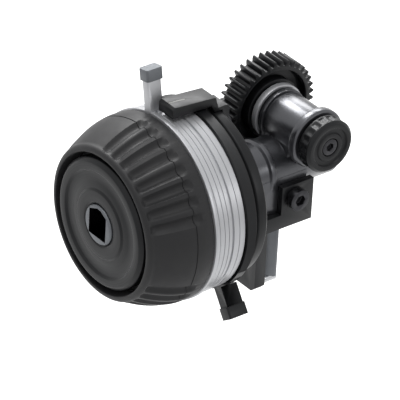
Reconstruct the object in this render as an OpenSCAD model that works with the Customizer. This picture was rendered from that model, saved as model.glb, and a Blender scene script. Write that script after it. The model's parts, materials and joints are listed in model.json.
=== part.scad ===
// Follow focus unit for a camera rig.
// A ribbed handwheel on a Y axis turns a shaft in the gearbox neck. A pair of
// screw gears passes the turn to a cross shaft on the X axis, which carries the
// toothed drive gear. Two stop levers ride on the wheel's drum and strike a
// fixed pointer. The unit hangs on a dovetail rail, whose face is the origin.
// Sizes are millimetres, Z is up, and the operator stands on the -Y side.

/* [Handwheel] */
// Outside diameter of the rubber grip
wheel_d = 60; // [54:0.5:70]
// Length of the grip from its front edge to its rear rim
grip_len = 20.4; // [17:0.2:26]
// How much smaller the grip's radius is at its front shoulder
grip_drop = 4.2; // [2:0.1:5]
// Length of the plain rear rim behind the ribs
grip_rim = 3.6; // [3:0.2:8]
// Length of the straight part behind the grip's taper
grip_straight = 3.4; // [2.6:0.1:5]
// Distance of the fine line from the grip's rear edge
grip_line = 6.3; // [4:0.1:8]
// Thickness of the rubber
grip_wall = 2.5; // [2:0.1:3.2]
// Radius of the round edge at the front of the grip
grip_edge = 1.8; // [1.2:0.1:2.6]
// Number of ribbed sectors round the grip
rib_sectors = 3; // [2:1:4]
// Number of grooves in each ribbed sector
rib_grooves = 8; // [5:1:9]
// Angle from one groove to the next
rib_pitch = 10; // [8:0.5:11]
// Width of a groove as an angle
groove_angle = 5; // [3:0.5:6]
// Depth of a groove
groove_depth = 1.1; // [0.5:0.1:1.5]
// Direction of the middle of the first ribbed sector, from the top
rib_start = 33; // [0:1:90]
// Wall of the hub's drum
drum_wall = 3; // [2:0.1:4]
// Diameter of the cap in the middle of the wheel
cap_d = 42; // [36:0.5:43]
// Width of the gap round the cap
cap_gap = 1.7; // [1:0.1:2]
// Height of the cap above its seat
cap_h = 6.8; // [5:0.1:7.2]
// Distance across the flats of the square socket
socket_af = 8; // [6:0.1:8.4]
// Depth of the square socket
socket_depth = 8.6; // [6:0.1:9.4]

/* [Marker drum and stops] */
// Wall of the pale marker ring
marker_wall = 2.4; // [1.8:0.1:2.7]
// Length of the front band of the marker ring
band_front = 4.9; // [3:0.1:7]
// Length of the rear band of the marker ring
band_rear = 4.3; // [3:0.1:7]
// Width of the groove between the two bands
band_groove = 0.9; // [0.6:0.1:1.5]
// Thickness of the front stop ring
stop_a_len = 1.4; // [1.2:0.1:2]
// Thickness of the rear stop ring
stop_b_len = 3.2; // [2:0.1:4]
// Length of the front stop lever beyond the grip
stop_a_reach = 14; // [10:0.5:18]
// Length of the rear stop lever beyond the grip
stop_b_reach = 10.5; // [8:0.5:18]
// Gap between the front stop lever and the pointer at rest
stop_gap = 0.4; // [0.3:0.1:2]
// Direction of the rear stop lever at rest, from the top
stop_b_angle = 145; // [120:1:165]
// Width of the front stop lever across its face
lever_a_w = 3; // [2.5:0.1:3.5]
// Width of the rear stop lever across its face
lever_b_w = 3.8; // [3:0.1:4.2]
// Length of the front stop lever along the wheel's axis
lever_a_len = 4.6; // [4.2:0.1:5]
// Length of the rear stop lever along the wheel's axis
lever_b_len = 6; // [4.2:0.1:6.4]

/* [Pointer] */
// Width of the pointer
pointer_w = 7; // [5:0.2:8]
// Height of the pointer at its front end
pointer_h = 3.8; // [3:0.1:5]
// How much lower the pointer's top is at its rear end
pointer_fall = 1.4; // [0.5:0.1:2]
// Thickness of the pointer's leg behind the flange
pointer_leg_t = 2.6; // [2:0.1:3.5]
// Length of the pointer's leg below the flange's edge
pointer_leg_len = 9; // [8:0.5:12]

/* [Gearbox] */
// How much smaller the front flange's radius is than the grip's
flange_drop = 1.8; // [1.4:0.1:4]
// Thickness of the front flange
flange_len = 3.9; // [3:0.1:5]
// Outside diameter of the neck
neck_d = 17.6; // [16.8:0.1:20]
// Distance from the flange's rear face to the drive shaft
neck_len = 31.2; // [30:0.2:45]
// Outside diameter of the cross tube that holds the drive shaft
tube_d = 16.2; // [15.8:0.1:18]
// Length of the cross tube on the gear's side of the wheel axis
tube_gear_side = 9.6; // [9.4:0.1:14]
// Length of the cross tube on the knob's side of the wheel axis
tube_knob_side = 9.5; // [9.4:0.1:14]
// Diameter of the two shafts
shaft_d = 6; // [5:0.5:6]
// Outside diameter of a shaft bearing
bearing_d = 12; // [11:0.5:12]
// Width of a shaft bearing
bearing_len = 4; // [3:0.5:4]

/* [Screw gears] */
// Height of the drive shaft above the wheel shaft
shaft_rise = 12; // [12:0.1:12.6]
// Number of teeth on each screw gear
screw_teeth = 12; // [10:2:14]
// Length of each screw gear
screw_gear_len = 8; // [6:0.5:8]
// Tooth thickness left out for backlash, on the pitch circle
screw_backlash = 0.24; // [0.1:0.02:0.4]

/* [Drive gear] */
// Module of the drive gear, 0.8 is the lens gear standard
gear_module = 0.8; // [0.5:0.1:1]
// Number of teeth on the drive gear
gear_teeth = 38; // [32:1:50]
// Width of the drive gear's face
gear_len = 7.8; // [6:0.1:10]
// Gap between the cross tube and the drive gear
gear_gap = 0.5; // [0.3:0.1:1]
// Thickness of the drive gear's rim below the teeth
gear_rim = 1.4; // [1:0.1:2]
// Depth of the dish in the drive gear's inner side
gear_dish = 3.4; // [2:0.1:4]
// Diameter of the lock knob
knob_d = 17.6; // [16:0.2:22]
// Length of the lock knob
knob_len = 5.6; // [5:0.1:9]
// Number of flutes round the lock knob
knob_flutes = 20; // [12:1:28]

/* [Bracket and rail] */
// Width of the dovetail rail across its wide face
rail_w = 16; // [14:0.5:19]
// Thickness of the dovetail rail
rail_len_y = 4.5; // [4:0.1:5]
// Length of the dovetail rail
rail_len = 18.4; // [18:0.2:26]
// Thickness of the bracket's hanger plate
bracket_t = 4; // [3.5:0.1:5]
// Thickness of the bracket's plate under the foot
foot_plate_t = 5; // [4.5:0.1:6]
// Distance from the wheel's axis down to the foot's lower face
foot_drop = 12; // [11:0.5:16]
// Thickness of the cheek beside the gearbox foot
cheek_t = 2; // [1.6:0.1:3]
// Diameter of the tapped hole in the rail
rail_thread_d = 5.6; // [4:0.1:5.6]

/* [Hidden] */
$fn = 96;

// Socket cap screws: radius of the shank, radius of the head and length of the head
m4 = [2, 3.5, 2.8];
m3 = [1.5, 2.75, 2.2];
m3_low = [1.5, 2.75, 1.8];
m3_seat = 2.4;
m3_low_seat = 2;
m25 = [1.25, 2.25, 1.6];
m25_seat = 1.8;
m16 = [0.8, 1.5, 1.2];
thread_grip = 3.6;
rail_thread_grip = 2.6;
m25_grip = 3.4;
m16_grip = 1.6;
// Free depth that a tapped hole keeps behind its screw
tap_rest = 0.4;

// Clearances: static pieces beside each other, faces, and shafts that turn
seat = 0.05;
face = 0.1;
running = 0.03;
ring_running = 0.08;
eps = 0.02;

// Stations along the wheel's axis, from the seam behind the grip (y = 0)
grip_rear_y = -2.6;
grip_front_y = grip_rear_y - grip_len;
stop_a_y0 = grip_rear_y + 0.3;
stop_a_y1 = stop_a_y0 + stop_a_len;
marker_y0 = stop_a_y1 + 0.2;
marker_y1 = marker_y0 + band_front + band_groove + band_rear;
stop_b_y0 = marker_y1 + 0.2;
stop_b_y1 = stop_b_y0 + stop_b_len;
retainer_y0 = stop_b_y1 + 0.2;
retainer_len = 1.2;
drum_y1 = retainer_y0 + retainer_len;
washer_len = 0.6;
flange_y0 = drum_y1 + 0.2 + washer_len;
flange_y1 = flange_y0 + flange_len;

// Radii of the wheel's parts
wheel_r = wheel_d / 2;
drum_r = wheel_r - grip_wall - seat * 2;
marker_r = drum_r + marker_wall;
drum_in_r = drum_r - drum_wall;
cap_r = cap_d / 2;
grip_mouth_r = cap_r + cap_gap;
stop_ring_r = wheel_r + 0.3;
retainer_r = drum_r + 1.4;
flange_r = wheel_r - flange_drop;
hub_boss_r = 7;
socket_wall = 0.8;
socket_r = socket_af / sqrt(2) + socket_wall;
web_front_y = grip_front_y + 6.4;
web_len = 4;
socket_front_y = web_front_y - cap_h - 0.6;
socket_floor = 3.3;
shaft_front_y = socket_front_y + socket_depth + socket_floor + face;

// Shafts and bearings
hub_pin_r = 1.2;
hub_pin_y = 1;
shaft_r = shaft_d / 2;
bearing_r = bearing_d / 2;
bearing_lip = 1;
front_bearing_y = flange_y1 + face;
clip_r = shaft_r + 1.5;
clip_len = 0.8;
drive_y = flange_y1 + neck_len;
drive_z = shaft_rise;

// Teeth: the pressure angle of both gear pairs
pressure_angle = 20;

// Screw gears: 45 degree helix, so the transverse module is the normal one by root 2
screw_pitch_r = shaft_rise / 2;
screw_module = 2 * screw_pitch_r / screw_teeth;
screw_normal = screw_module / sqrt(2);
screw_tip_r = screw_pitch_r + screw_normal * 0.95;
screw_root_r = screw_pitch_r - screw_normal * 1.25;
screw_base_r = screw_pitch_r * cos(atan(tan(pressure_angle) * sqrt(2)));
screw_slices = 14;
cavity_r = screw_tip_r + 0.4;
neck_bore_r = bearing_r - 0.8;
cavity_y0 = drive_y - screw_gear_len / 2 - 1.6;
rear_bearing_y = drive_y + screw_gear_len / 2 + clip_len + 0.8;
cover_spigot_r = cavity_r - seat;
cover_spigot_y = rear_bearing_y - 0.9;
neck_r = neck_d / 2;
neck_rear_y = rear_bearing_y + bearing_len + 0.3;
cover_len = 2.6;
tube_r = tube_d / 2;
drive_bearing_x = screw_gear_len / 2 + 0.4;
cap_flange_r = tube_r + 1.6;
cap_flange_len = 2.8;
side_cap_x1 = tube_knob_side + cap_flange_len;
side_ring_r = tube_r + 1;
side_ring_len = 2.4;

// Drive gear and lock knob
gear_tip_r = gear_module * (gear_teeth + 2) / 2;
gear_root_r = gear_module * (gear_teeth - 2.5) / 2;
gear_x1 = -tube_gear_side - gear_gap;
gear_x0 = gear_x1 - gear_len;
gear_hub_r = tube_r + 1.7;
bolt_r = 1.5;
clamp_plate_r = 6;
clamp_plate_len = 1.6;
drive_shaft_x0 = gear_x0 + clamp_plate_len + face;
drive_shaft_x1 = side_cap_x1 - 0.3;
knob_r = knob_d / 2;
knob_x0 = side_cap_x1 + 0.4;
knob_x1 = knob_x0 + knob_len;
bolt_head_r = 2.75;
bolt_head_len = 2;

// Bracket, cheeks and rail
foot_half = neck_r + 0.1;
foot_y0 = flange_y1 + 6.6;
foot_y1 = drive_y - 1;
foot_z = -foot_drop;
plate_z0 = foot_z - foot_plate_t;
hanger_y0 = foot_y0 + 6.5;
hanger_y1 = hanger_y0 + bracket_t;
rail_top_z = plate_z0 - 1;
rail_mid_z = rail_top_z - rail_len / 2;
rail_bottom_z = rail_top_z - rail_len;
rail_face_y = hanger_y1 + rail_len_y;
rail_neck_w = rail_w - 4;
rail_neck_len = 1.6;
rail_screw_pitch = rail_len - 4.8;
cheek_out = foot_half + face + cheek_t;
cheek_screw_y = drive_y - 6.8;
cheek_screw_z = -7;
cheek_half_y = 5;
cheek_over = 1.4;
cheek_half_z = 4.6;
foot_screw_y = [foot_y0 + 3, foot_y1 - 4];
stop_pin_r = 1.4;
stop_pin_depth = 2.2;
stop_pin_x = 5;
stop_pin_out = 1.5;
corner_cut = 1.6;
stop_pin_z = rail_bottom_z - stop_pin_r - 0.3;
hanger_z0 = stop_pin_z - stop_pin_r - 0.3;

// Moves the wheel's axis frame so that the rail's face centre is the origin
module place() { translate([0, -rail_face_y, -rail_mid_z]) children(); }

// A body turned about the wheel axis, from points [radius, y]
module turned_y(points) { rotate([-90, 0, 0]) rotate_extrude() polygon(points); }
// A body turned about the drive axis, from points [radius, x]
module turned_x(points) {
    translate([0, drive_y, drive_z]) rotate([0, 90, 0]) rotate_extrude() polygon(points);
}
// Straight round bars along the two axes
module rod_y(y0, y1, r, x = 0, z = 0) {
    translate([x, y0, z]) rotate([-90, 0, 0]) cylinder(r = r, h = y1 - y0);
}
module rod_x(x0, x1, r, y, z) {
    translate([x0, y, z]) rotate([0, 90, 0]) cylinder(r = r, h = x1 - x0);
}
module rod_z(z0, z1, r, x, y) { translate([x, y, z0]) cylinder(r = r, h = z1 - z0); }
module drive_rod(x0, x1, r) { rod_x(x0, x1, r, drive_y, drive_z); }
// Turns what points to +Z so that it points to the angle t, from the top towards +X
module at_angle(t) { rotate([0, t, 0]) children(); }
module block(x0, x1, y0, y1, z0, z1) {
    translate([x0, y0, z0]) cube([x1 - x0, y1 - y0, z1 - z0]);
}
// A socket cap screw along +Y with its head's seat at y = 0 and its shank behind it
module screw_y(size, shank_len) {
    difference() {
        union() {
            rod_y(-size[2], 0, size[1]);
            rod_y(-eps, shank_len, size[0]);
        }
        rotate([-90, 0, 0]) translate([0, 0, -size[2] - eps])
            cylinder(r = size[1] * 0.55, h = size[2] * 0.6, $fn = 6);
    }
}

// ---- Grip profile: radius of the grip at a distance behind its front edge
grip_taper_len = grip_len - 2 * grip_straight;
function grip_r(y) =
    let (s = max(0, (grip_rear_y - grip_straight) - y))
    wheel_r - grip_drop * pow(s / grip_taper_len, 1.75);
edge_y = grip_front_y + grip_edge;
taper_steps = 9;
edge_steps = 6;
taper_y = [for (i = [0:taper_steps])
    edge_y + (grip_rear_y - grip_straight - edge_y) * i / taper_steps];
edge_r = grip_r(edge_y);
edge_arc = [for (i = [0:edge_steps - 1]) let (a = 90 * i / edge_steps)
    [edge_r - grip_edge + grip_edge * sin(a), edge_y - grip_edge * cos(a)]];
grip_outline = concat(edge_arc, [for (y = taper_y) [grip_r(y), y]], [[wheel_r, grip_rear_y - 0.4],
    [wheel_r - 0.4, grip_rear_y]]);
groove_y0 = edge_y + 0.4;
groove_y1 = grip_rear_y - grip_rim;
groove_steps = 5;
groove_y = [for (i = [0:groove_steps]) groove_y0 + (groove_y1 - groove_y0) * i / groove_steps];
hub_front_r = grip_r(web_front_y) - grip_wall - 2 * seat;

module grip_groove() {
    floor_line = [for (y = groove_y) [grip_r(y) - groove_depth, y]];
    rotate([-90, 0, 0]) rotate([0, 0, -groove_angle / 2]) rotate_extrude(angle = groove_angle)
        polygon(concat(floor_line, [[wheel_r + 1, groove_y1 + 0.8], [wheel_r + 1, groove_y0]]));
}

module grip_sleeve() {
    color("#2b2b2b") place() difference() {
        turned_y(concat(grip_outline, [
            [drum_r + seat * 2, grip_rear_y], [drum_r + seat * 2, web_front_y + 7.5],
            [hub_front_r + seat * 2, web_front_y - face], [grip_mouth_r, web_front_y - face],
            [grip_mouth_r, grip_front_y + 0.3], [grip_mouth_r + 0.3, grip_front_y]]));
        for (s = [0:rib_sectors - 1], g = [0:rib_grooves - 1])
            at_angle(rib_start + 360 / rib_sectors * s + rib_pitch * (g - (rib_grooves - 1) / 2) - 90)
                grip_groove();
        // fine line round the grip near its rear edge
        line_y = grip_rear_y - grip_line;
        turned_y([[wheel_r - 0.8, line_y], [wheel_r + 1, line_y],
            [wheel_r + 1, line_y + 0.5], [wheel_r - 0.8, line_y + 0.5]]);
    }
}

module wheel_hub() {
    color("#303030") place() difference() {
        turned_y([
            [shaft_r + seat, shaft_front_y], [socket_r + seat, shaft_front_y],
            [socket_r + seat, web_front_y], [hub_front_r, web_front_y],
            [drum_r, web_front_y + 7.5], [drum_r, drum_y1], [drum_in_r, drum_y1],
            [drum_in_r, web_front_y + 7.5], [hub_front_r - drum_wall, web_front_y + web_len],
            [hub_boss_r + 1, web_front_y + web_len], [hub_boss_r, web_front_y + web_len + 1],
            [hub_boss_r, drum_y1 - 6], [shaft_r + seat, drum_y1 - 6]]);
        rod_x(-hub_boss_r - 1, hub_boss_r + 1, hub_pin_r + seat, hub_pin_y, 0);
    }
}

module hub_pin() {
    color("silver") place() rod_x(-hub_boss_r + 0.2, hub_boss_r - 0.2, hub_pin_r, hub_pin_y, 0);
}

module front_cap() {
    y0 = web_front_y - face;
    top = web_front_y - cap_h;
    color("#262626") place() turned_y([
        [socket_r + seat, y0], [socket_r + seat, top + 0.4], [socket_r + 1.6, top - 0.1],
        [cap_r * 0.56, top - 0.1], [cap_r * 0.6, top + 0.7], [cap_r * 0.8, top + 0.7],
        [cap_r * 0.84, top], [cap_r - 1.1, top], [cap_r, top + 1.1], [cap_r, y0]]);
}

module whip_socket() {
    color("#55585c") place() difference() {
        turned_y([[0, socket_front_y], [socket_r - 0.5, socket_front_y],
            [socket_r, socket_front_y + 0.5], [socket_r, shaft_front_y - face],
            [0, shaft_front_y - face]]);
        block(-socket_af / 2, socket_af / 2, socket_front_y - 1, socket_front_y + socket_depth,
            -socket_af / 2, socket_af / 2);
    }
}

module marker_ring() {
    g0 = marker_y0 + band_front;
    g1 = g0 + band_groove;
    r_in = drum_r + seat;
    color("#dcdcdc") place() turned_y([
        [r_in, marker_y0], [marker_r - 0.5, marker_y0], [marker_r, marker_y0 + 0.5],
        [marker_r, g0], [marker_r - 0.8, g0], [marker_r - 0.8, g1], [marker_r - 0.2, g1],
        [marker_r - 0.2, marker_y1 - 0.4], [marker_r - 0.6, marker_y1], [r_in, marker_y1]]);
}

module drum_retainer() {
    color("#1c1c1c") place() turned_y([
        [drum_r + seat, retainer_y0], [retainer_r, retainer_y0],
        [retainer_r, drum_y1], [drum_r + seat, drum_y1]]);
}

module wheel_shaft() {
    color("silver") place() difference() {
        rod_y(shaft_front_y, rear_bearing_y + bearing_len, shaft_r);
        rod_x(-shaft_r - 1, shaft_r + 1, hub_pin_r + seat, hub_pin_y, 0);
    }
}

module clip_y(y0) {
    turned_y([[shaft_r + seat, y0], [clip_r, y0], [clip_r, y0 + clip_len],
        [shaft_r + seat, y0 + clip_len]]);
}
module wheel_shaft_clips() {
    color("dimgray") place() {
        clip_y(front_bearing_y + bearing_len + 0.2);
        clip_y(rear_bearing_y - clip_len - 0.2);
    }
}

// ---- Stop rings with their levers
pad_h = 3.8;
pad_top = 2.8;
pad_a_wall = 0.7;
pad_b_wall = 0.5;
module stop_ring(y0, y1) {
    turned_y([[drum_r + ring_running, y0], [stop_ring_r, y0], [stop_ring_r, y1],
        [drum_r + ring_running, y1]]);
}
module stop_lever(y0, y1, lever_y1, reach, width) {
    top = wheel_r + reach - pad_top;
    block(-width / 2, width / 2, y0, lever_y1, stop_ring_r + 0.05, top);
    block(-width / 2, width / 2, y0, y1, stop_ring_r - 1.2, stop_ring_r + 0.1);
}
// A cap over a lever's tip, with chamfered upright edges
module stop_pad(y0, lever_y1, reach, width, wall) {
    tip = wheel_r + reach;
    half = width / 2 + wall;
    chamfer = wall * 0.8;
    difference() {
        translate([0, 0, tip - pad_h]) linear_extrude(pad_h)
            polygon([[-half + chamfer, y0 - wall], [half - chamfer, y0 - wall],
                [half, y0 - wall + chamfer], [half, lever_y1 + wall - chamfer],
                [half - chamfer, lever_y1 + wall], [-half + chamfer, lever_y1 + wall],
                [-half, lever_y1 + wall - chamfer], [-half, y0 - wall + chamfer]]);
        block(-width / 2 - seat, width / 2 + seat, y0 - seat, lever_y1 + seat,
            tip - pad_h - 1, tip - pad_top + seat);
    }
}
module stop_a_ring() {
    color("#9a9a9a") place() {
        stop_ring(stop_a_y0, stop_a_y1);
        at_angle(stop_a_angle)
            stop_lever(stop_a_y0, stop_a_y1, stop_a_y0 + lever_a_len, stop_a_reach, lever_a_w);
    }
}
module stop_a_pad() {
    color("#b8b8b8") place() at_angle(stop_a_angle)
        stop_pad(stop_a_y0, stop_a_y0 + lever_a_len, stop_a_reach, lever_a_w, pad_a_wall);
}
module stop_b_ring() {
    color("#303030") place() {
        stop_ring(stop_b_y0, stop_b_y1);
        at_angle(stop_b_angle)
            stop_lever(stop_b_y0, stop_b_y1, stop_b_y0 + lever_b_len, stop_b_reach, lever_b_w);
    }
}
module stop_b_pad() {
    color("#3a3a3a") place() at_angle(stop_b_angle)
        stop_pad(stop_b_y0, stop_b_y0 + lever_b_len, stop_b_reach, lever_b_w, pad_b_wall);
}

// ---- Flange, pointer and drag washer
pointer_z = stop_ring_r + 0.5;
// whole degrees that leave at least the stop gap between the lever and the pointer
stop_a_angle = -ceil(asin((pointer_w / 2 + lever_a_w / 2 + stop_gap) / pointer_z));
pointer_y0 = stop_a_y0 + 2.3;
pointer_y1 = flange_y1 - 1.6;
leg_y1 = flange_y1 + face + pointer_leg_t;
leg_under = flange_r + face;
leg_top = leg_under + 1.1;
leg_z0 = flange_r - pointer_leg_len;
function pointer_top(y) =
    pointer_z + pointer_h - pointer_fall * (y - pointer_y0) / (pointer_y1 - pointer_y0);
line_half = 0.2;
line_depth = 0.4;
line_y1 = pointer_y0 + 7;
pointer_screw_z = leg_z0 + 3.2;
pointer_screw_x = 2;
flange_hole_r = shaft_r + 1.4;
flange_screw_r = 9.6;

module pointer_arm() {
    color("#1e1e1e") place() difference() {
        translate([-pointer_w / 2, 0, 0]) rotate([90, 0, 90]) linear_extrude(pointer_w) polygon([
            [pointer_y0, pointer_z], [pointer_y0, pointer_top(pointer_y0) - 0.8],
            [pointer_y0 + 0.8, pointer_top(pointer_y0 + 0.8)],
            [pointer_y1 - 1.2, pointer_top(pointer_y1 - 1.2)], [pointer_y1, leg_top],
            [leg_y1 - 0.8, leg_top], [leg_y1, leg_top - 0.8], [leg_y1, leg_z0],
            [flange_y1 + face, leg_z0], [flange_y1 + face, leg_under], [flange_y0 + 1, leg_under],
            [flange_y0 - 0.4, pointer_z]]);
        translate([-line_half - seat, 0, 0]) rotate([90, 0, 90])
            linear_extrude(2 * (line_half + seat)) polygon([
                [pointer_y0 + 0.8, pointer_top(pointer_y0 + 0.8) - line_depth],
                [pointer_y0 + 0.8, pointer_top(pointer_y0 + 0.8) + 1],
                [line_y1, pointer_top(line_y1) + 1], [line_y1, pointer_top(line_y1) - line_depth]]);
        for (s = [-1, 1]) rod_y(flange_y1, leg_y1 + 1, m16[0] + seat,
            s * pointer_screw_x, pointer_screw_z);
    }
}

module pointer_line() {
    color("white") place() translate([-line_half, 0, 0]) rotate([90, 0, 90])
        linear_extrude(2 * line_half) polygon([
            [pointer_y0 + 0.85, pointer_top(pointer_y0 + 0.85) - line_depth + seat],
            [pointer_y0 + 0.85, pointer_top(pointer_y0 + 0.85)],
            [line_y1 - seat, pointer_top(line_y1 - seat)],
            [line_y1 - seat, pointer_top(line_y1 - seat) - line_depth + seat]]);
}

module pointer_screws() {
    color("gray") place() for (s = [-1, 1])
        translate([s * pointer_screw_x, leg_y1 + seat, pointer_screw_z]) mirror([0, 1, 0])
            screw_y(m16, leg_y1 - flange_y1 + m16_grip);
}

module front_flange() {
    color("#1a1a1a") place() difference() {
        turned_y([[flange_hole_r, flange_y0], [flange_r - 0.6, flange_y0],
            [flange_r, flange_y0 + 0.6], [flange_r, flange_y1 - 0.6],
            [flange_r - 0.6, flange_y1], [flange_hole_r, flange_y1]]);
        for (a = [45:90:315]) at_angle(a) {
            rod_y(flange_y0 - 1, flange_y1 + 1, m25[0] + seat, 0, flange_screw_r);
            rod_y(flange_y0 - 1, flange_y0 + m25_seat, m25[1] + seat, 0, flange_screw_r);
        }
        for (s = [-1, 1]) rod_y(flange_y1 - m16_grip - tap_rest, flange_y1 + 1, m16[0] + seat,
            s * pointer_screw_x, pointer_screw_z);
    }
}

module flange_screws() {
    color("gray") place() for (a = [45:90:315]) at_angle(a)
        translate([0, flange_y0 + m25_seat - seat, flange_screw_r])
            screw_y(m25, flange_len - m25_seat + m25_grip);
}

module drag_washer() {
    y1 = flange_y0;
    color("#5a4a36") place() turned_y([[drum_in_r + 0.3, y1 - washer_len],
        [drum_r - 0.3, y1 - washer_len], [drum_r - 0.3, y1], [drum_in_r + 0.3, y1]]);
}

// ---- Gearbox
module gearbox_body() {
    base_r = 13;
    collar_y = foot_y0 + 11.4;
    web_half = tube_gear_side - side_ring_len - 0.2;
    // a collar between two grooves on the cross tube, beside the ring at its gear's end
    collar_x0 = -tube_gear_side + side_ring_len + 0.8;
    collar_x1 = collar_x0 + 1.4;
    color("#3a3a3a") place() difference() {
        union() {
            difference() {
                union() {
                    turned_y([[0, flange_y1], [base_r - 0.5, flange_y1], [base_r, flange_y1 + 0.5],
                        [base_r, flange_y1 + 3.6], [base_r - 1, flange_y1 + 4.6],
                        [neck_r, flange_y1 + 5.6], [neck_r, collar_y - 2.2],
                        [neck_r + 0.7, collar_y - 1.5], [neck_r + 0.7, collar_y],
                        [neck_r, collar_y + 0.7], [neck_r, neck_rear_y], [0, neck_rear_y]]);
                    block(-web_half, web_half, drive_y - tube_r + 0.6,
                        drive_y + tube_r - 0.6, 0, drive_z);
                    block(-foot_half, foot_half, foot_y0, foot_y1, foot_z, 0);
                }
                // room for the ring at the gear's end of the cross tube
                drive_rod(-tube_gear_side - 1, -tube_gear_side + side_ring_len + face,
                    side_ring_r + face);
            }
            turned_x([[0, -tube_gear_side], [tube_r, -tube_gear_side], [tube_r, collar_x0 - 0.7],
                [tube_r - 0.6, collar_x0 - 0.6], [tube_r - 0.6, collar_x0],
                [tube_r + 0.4, collar_x0 + 0.1], [tube_r + 0.4, collar_x1],
                [tube_r - 0.5, collar_x1 + 0.1], [tube_r - 0.5, collar_x1 + 0.7],
                [tube_r, collar_x1 + 0.8], [tube_r, tube_knob_side], [0, tube_knob_side]]);
        }
        // wheel shaft: front bearing seat, neck bore and gear cavity
        rod_y(flange_y1 - 1, front_bearing_y + bearing_len + face, bearing_r + seat);
        rod_y(flange_y1, cavity_y0 + eps, neck_bore_r);
        rod_y(cavity_y0, neck_rear_y + 1, cavity_r);
        // drive shaft: bearing seat on the gear's side and cavity towards the knob
        drive_rod(-tube_gear_side - 1, 0, bearing_r - bearing_lip);
        drive_rod(-drive_bearing_x - bearing_len - face, 0, bearing_r + seat);
        drive_rod(-screw_gear_len / 2 - 0.3, tube_knob_side + 1, cavity_r);
        // tapped holes
        for (a = [45:90:315]) at_angle(a)
            rod_y(flange_y1 - 1, flange_y1 + m25_grip + 2 * tap_rest, m25[0] + seat, 0, flange_screw_r);
        rod_x(foot_half - thread_grip - tap_rest, foot_half + 1, m4[0] + seat, cheek_screw_y,
            cheek_screw_z);
        for (y = foot_screw_y) rod_z(foot_z - 1, foot_z + thread_grip, m3[0] + seat, 0, y);
    }
}

module gear_side_ring() {
    color("#6a6a6a") place() turned_x([
        [tube_r + seat, -tube_gear_side], [side_ring_r - 0.4, -tube_gear_side],
        [side_ring_r, -tube_gear_side + 0.4], [side_ring_r, -tube_gear_side + side_ring_len],
        [tube_r + seat, -tube_gear_side + side_ring_len]]);
}

module side_bearing_cap() {
    spigot_x = drive_bearing_x;
    color("#4a4a4a") place() turned_x([
        [bearing_r + seat, spigot_x], [cavity_r - seat, spigot_x],
        [cavity_r - seat, tube_knob_side + face], [cap_flange_r, tube_knob_side + face],
        [cap_flange_r, side_cap_x1 - 0.6], [cap_flange_r - 0.6, side_cap_x1],
        [bearing_r - bearing_lip, side_cap_x1],
        [bearing_r - bearing_lip, spigot_x + bearing_len + face],
        [bearing_r + seat, spigot_x + bearing_len + face]]);
}

module rear_cover() {
    color("#2e2e2e") place() difference() {
        turned_y([[bearing_r + seat, cover_spigot_y], [cover_spigot_r, cover_spigot_y],
            [cover_spigot_r, neck_rear_y + face], [neck_r, neck_rear_y + face],
            [neck_r, neck_rear_y + cover_len - 0.6], [neck_r - 0.6, neck_rear_y + cover_len],
            [0, neck_rear_y + cover_len], [0, rear_bearing_y + bearing_len + 0.2],
            [bearing_r + seat, rear_bearing_y + bearing_len + 0.2]]);
        for (a = [0:120:240]) at_angle(a)
            rod_y(neck_rear_y + cover_len - 1, neck_rear_y + cover_len + 1, 1.2 + seat, 0, 6.2);
    }
}

module rear_cover_screws() {
    y = neck_rear_y + cover_len - 1 + seat;
    color("gray") place() for (a = [0:120:240]) at_angle(a) difference() {
        rod_y(y, y + 0.9, 1.2, 0, 6.2);
        translate([0, y + 0.4, 6.2]) rotate([-90, 0, 0]) cylinder(r = 0.7, h = 1, $fn = 6);
    }
}

// ---- Bearings: an outer ring, a shield groove and an inner ring in one turned piece
function bearing_points(p) = [
    [shaft_r + running, p], [shaft_r + 1, p], [shaft_r + 1.1, p + 0.25],
    [bearing_r - 0.9, p + 0.25], [bearing_r - 0.8, p], [bearing_r, p],
    [bearing_r, p + bearing_len], [bearing_r - 0.8, p + bearing_len],
    [bearing_r - 0.9, p + bearing_len - 0.25], [shaft_r + 1.1, p + bearing_len - 0.25],
    [shaft_r + 1, p + bearing_len], [shaft_r + running, p + bearing_len]];
module wheel_bearing_front() { color("silver") place() turned_y(bearing_points(front_bearing_y)); }
module wheel_bearing_rear() { color("silver") place() turned_y(bearing_points(rear_bearing_y)); }
module drive_bearing_gear_side() {
    color("silver") place() turned_x(bearing_points(-drive_bearing_x - bearing_len));
}
module drive_bearing_knob_side() {
    color("silver") place() turned_x(bearing_points(drive_bearing_x + seat));
}

// ---- Screw gears
function polar(r, a) = [r * cos(a), r * sin(a)];
function involute(a) = tan(a) * 180 / PI - a;
screw_half_pitch = 90 / screw_teeth - screw_backlash / 2 / screw_pitch_r * 180 / PI;
function screw_half(r) = screw_half_pitch + involute(acos(screw_base_r / screw_pitch_r))
    - (r > screw_base_r ? involute(acos(screw_base_r / r)) : 0);
screw_radii = [screw_root_r, (screw_base_r + screw_pitch_r) / 2, screw_pitch_r + 0.1, screw_tip_r];
screw_outline = [for (k = [0:screw_teeth - 1]) let (a = 360 / screw_teeth * k)
    each concat([for (r = screw_radii) polar(r, a - screw_half(r))],
        [for (i = [3:-1:0]) polar(screw_radii[i], a + screw_half(screw_radii[i]))])];
screw_twist = screw_gear_len / screw_pitch_r * 180 / PI;

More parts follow.
